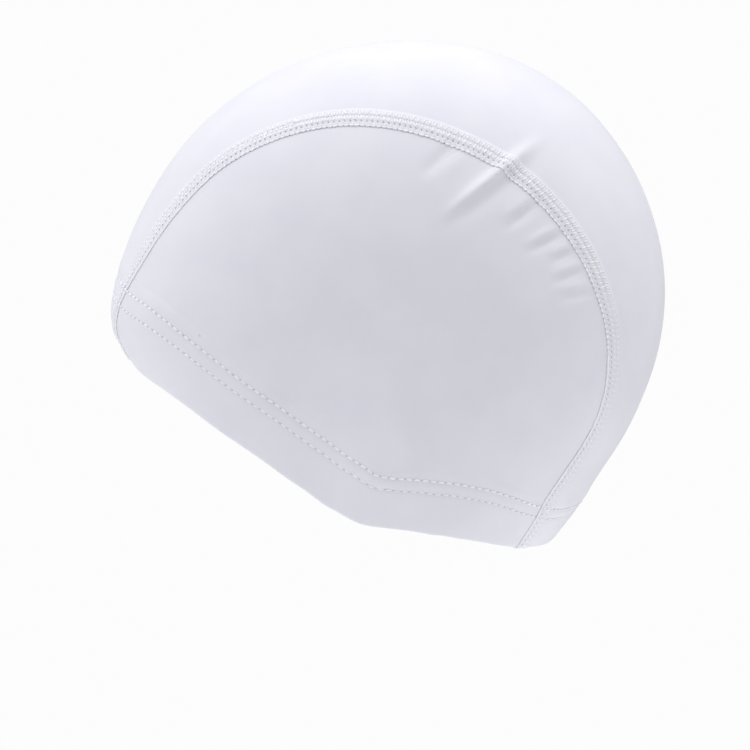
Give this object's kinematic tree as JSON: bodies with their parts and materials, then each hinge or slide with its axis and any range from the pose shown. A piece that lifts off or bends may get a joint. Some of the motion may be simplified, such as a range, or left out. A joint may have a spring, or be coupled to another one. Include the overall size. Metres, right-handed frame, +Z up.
{
  "type": "swim cap",
  "caption": "Three-panel coated fabric swim cap in its worn shape, with flat lapped seams from brow to nape and a folded, stitched hem.",
  "frame": {"origin": "on the inside of the crown at its highest point, where the top of the head meets the cloth", "axes": "+Z up, +Y to the back of the head, -Y to the face, +X to the wearer's left"},
  "size_m": [0.1576, 0.2007, 0.1838],
  "materials": {
    "coated_cloth": "smooth, satin white coating on a knitted stretch cloth"
  },
  "bodies": {
    "root": {"centre_panel": "coated_cloth", "side_panel_left": "coated_cloth", "side_panel_right": "coated_cloth"}
  },
  "joints": []
}
